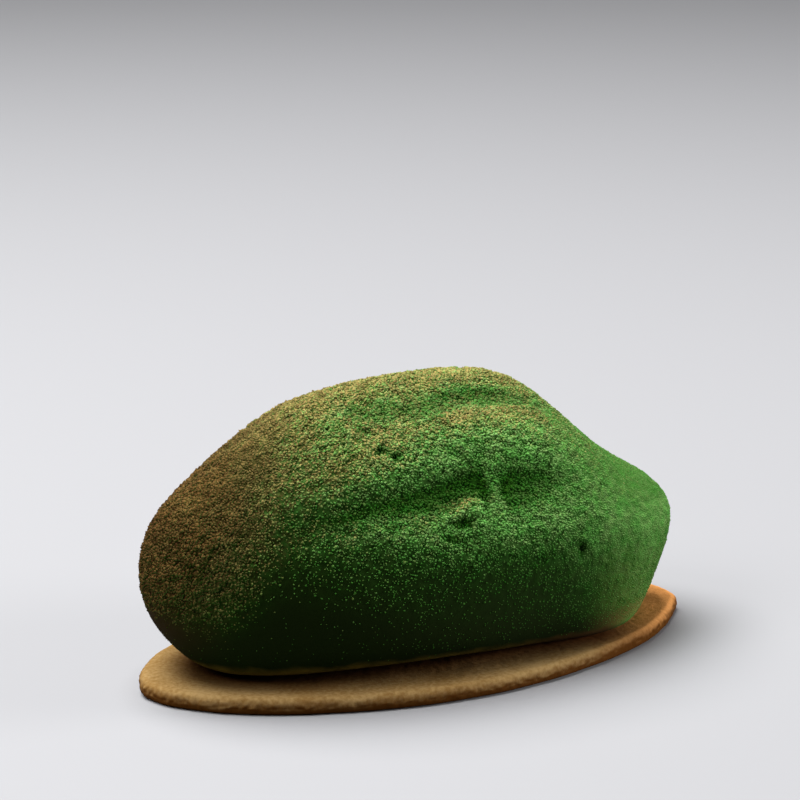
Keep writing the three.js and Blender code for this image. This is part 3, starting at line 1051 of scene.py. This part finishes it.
class DESSERT_OT_coat(bpy.types.Operator):
    """Makes the mousse's coat, with its small lumps and marks"""

    bl_idname = "dessert.coat"
    bl_label = "Velvet Coat"

    def execute(self, context):
        settings = context.scene.dessert_coat
        spray_group()
        mesh = smooth_mousse()
        press_marks(mesh)
        mark_sprays(mesh)
        values = {
            "Lump Size": settings.lump_size,
            "Lump Height": settings.lump_height,
            "Calm Below": SABLE_HIGH.z + 0.5 * MM,
        }
        coat = mesh_through(relief_tree(), mesh, "mousse_coat", values)
        coat.shade_smooth()
        print(coat.name, triangle_count(coat), "triangles")
        lay_coat_map(coat, face_centres(coat))
        add_piece(coat, coat_material(settings), replaced=["mousse_body"])
        return {"FINISHED"}


class DESSERT_OT_crumbs(bpy.types.Operator):
    """Scatters the sprayed crumbs over the coat, one piece for each size"""

    bl_idname = "dessert.crumbs"
    bl_label = "Velvet Crumbs"

    def execute(self, context):
        settings = context.scene.dessert_coat
        surface = bpy.data.meshes["mousse_coat"]
        material = crumb_material(settings)
        tree = crumb_tree()
        for name, kind in CRUMB_KINDS.items():
            size = settings.crumb_size * kind["size"]
            values = {
                "Crumb Size": size,
                "Spacing": size * kind["spacing"],
                "Cover": kind["cover"],
                "Sunk": kind["sunk"],
                "Small": kind["small"],
                "Seed": kind["seed"],
                "Material": material,
            }
            crumbs = mesh_through(tree, surface.copy(), name, values)
            corners = SPECK_CORNERS if kind["small"] else BALL_CORNERS
            centres = positions(crumbs).reshape(-1, corners, 3).mean(axis=1).repeat(corners, axis=0)
            triangles = triangle_count(crumbs)
            print(name, len(centres) // corners, "crumbs", triangles, "triangles")
            if triangles > MOST_TRIANGLES:
                raise RuntimeError(f"{name} has {triangles} triangles")
            lay_coat_map(crumbs, centres[corner_vertices(crumbs)])
            add_piece(crumbs, material)
        return {"FINISHED"}


class DESSERT_OT_sable(bpy.types.Operator):
    """Makes the baked biscuit under the mousse"""

    bl_idname = "dessert.sable"
    bl_label = "Sable Biscuit"

    def execute(self, context):
        settings = context.scene.dessert_sable
        values = {
            "Grain Size": settings.grain_size,
            "Grain Height": settings.grain_height,
            "Swell Height": settings.swell_height,
        }
        mesh = mesh_through(sable_tree(), sable_mesh(settings.wobble), "baked_sable", values)
        keep_painted_shadow(mesh)
        add_piece(mesh, sable_material(settings), replaced=["sable_base"])
        return {"FINISHED"}


def soft_lamp(name, power, direction, width):
    """A round soft lamp that faces the cake."""
    lamp = bpy.data.lights.new(name, "AREA")
    lamp.energy = power
    lamp.shape = "DISK"
    lamp.size = width
    carrier = bpy.data.objects.new(name, lamp)
    carrier.location = direction.normalized() * LAMPS_AWAY
    carrier.rotation_euler = direction.to_track_quat("Z", "Y").to_euler()
    bpy.context.scene.collection.objects.link(carrier)


class DESSERT_OT_stage(bpy.types.Operator):
    """Sets the floor, the soft light and the camera"""

    bl_idname = "dessert.stage"
    bl_label = "Stage"

    def execute(self, context):
        settings = context.scene.dessert_stage
        half, drop = FLOOR_HALF, FLOOR_DROP
        corners = [(-half, -half, -drop), (half, -half, -drop), (half, half, -drop), (-half, half, -drop)]
        mesh = bpy.data.meshes.new("floor")
        mesh.from_pydata(corners, [], [(0, 1, 2, 3)])
        floor = bpy.data.objects.new("floor", mesh)
        context.scene.collection.objects.link(floor)
        material, _, shader = new_material("floor", 0.7, 0.2)
        shader.inputs["Base Color"].default_value = (*settings.floor, 1.0)
        mesh.materials.append(material)

        world = bpy.data.worlds.new("studio")
        world.use_nodes = True
        background = world.node_tree.nodes["Background"]
        background.inputs["Color"].default_value = SKY_COLOUR
        background.inputs["Strength"].default_value = settings.fill
        context.scene.world = world

        soft_lamp("key", settings.key_power, KEY_FROM, KEY_WIDTH)
        soft_lamp("right", settings.right_power, RIGHT_FROM, SIDE_WIDTH)
        soft_lamp("left", settings.left_power, LEFT_FROM, SIDE_WIDTH)

        camera = bpy.data.cameras.new("camera")
        camera.lens = CAMERA_LENS
        camera.sensor_width = CAMERA_SENSOR
        camera.clip_start = CAMERA_NEAR
        eye = bpy.data.objects.new("camera", camera)
        eye.location = CAMERA_PLACE
        eye.rotation_euler = (math.pi / 2 - CAMERA_TILT, 0.0, CAMERA_TURN)
        context.scene.collection.objects.link(eye)
        context.scene.camera = eye
        context.scene.view_settings.view_transform = "Standard"
        return {"FINISHED"}


class DESSERT_PT_panel(bpy.types.Panel):
    """The dessert's pieces in the sidebar"""

    bl_idname = "DESSERT_PT_panel"
    bl_label = "Pistachio Mousse Cake"
    bl_space_type = "VIEW_3D"
    bl_region_type = "UI"
    bl_category = "Dessert"

    def draw(self, context):
        for operator in OPERATORS:
            self.layout.operator(operator.bl_idname)
        scene = context.scene
        for settings in (scene.dessert_coat, scene.dessert_sable, scene.dessert_stage):
            column = self.layout.column()
            for name in settings.bl_rna.properties.keys():
                if name not in ("rna_type", "name"):
                    column.prop(settings, name)


OPERATORS = (DESSERT_OT_coat, DESSERT_OT_crumbs, DESSERT_OT_sable, DESSERT_OT_stage)
CLASSES = (CoatSettings, SableSettings, StageSettings, *OPERATORS, DESSERT_PT_panel)


def register():
    """Registers the classes and gives the scene its settings."""
    for each in CLASSES:
        bpy.utils.register_class(each)
    bpy.types.Scene.dessert_coat = bpy.props.PointerProperty(type=CoatSettings)
    bpy.types.Scene.dessert_sable = bpy.props.PointerProperty(type=SableSettings)
    bpy.types.Scene.dessert_stage = bpy.props.PointerProperty(type=StageSettings)


def unregister():
    """Takes the settings and the classes away again."""
    del bpy.types.Scene.dessert_stage
    del bpy.types.Scene.dessert_sable
    del bpy.types.Scene.dessert_coat
    for each in reversed(CLASSES):
        bpy.utils.unregister_class(each)


def main():
    """Builds the dessert and its stage, and writes how large it is."""
    register()
    bpy.ops.dessert.stage()
    bpy.ops.dessert.coat()
    bpy.ops.dessert.crumbs()
    bpy.ops.dessert.sable()


if __name__ == "__main__":
    main()
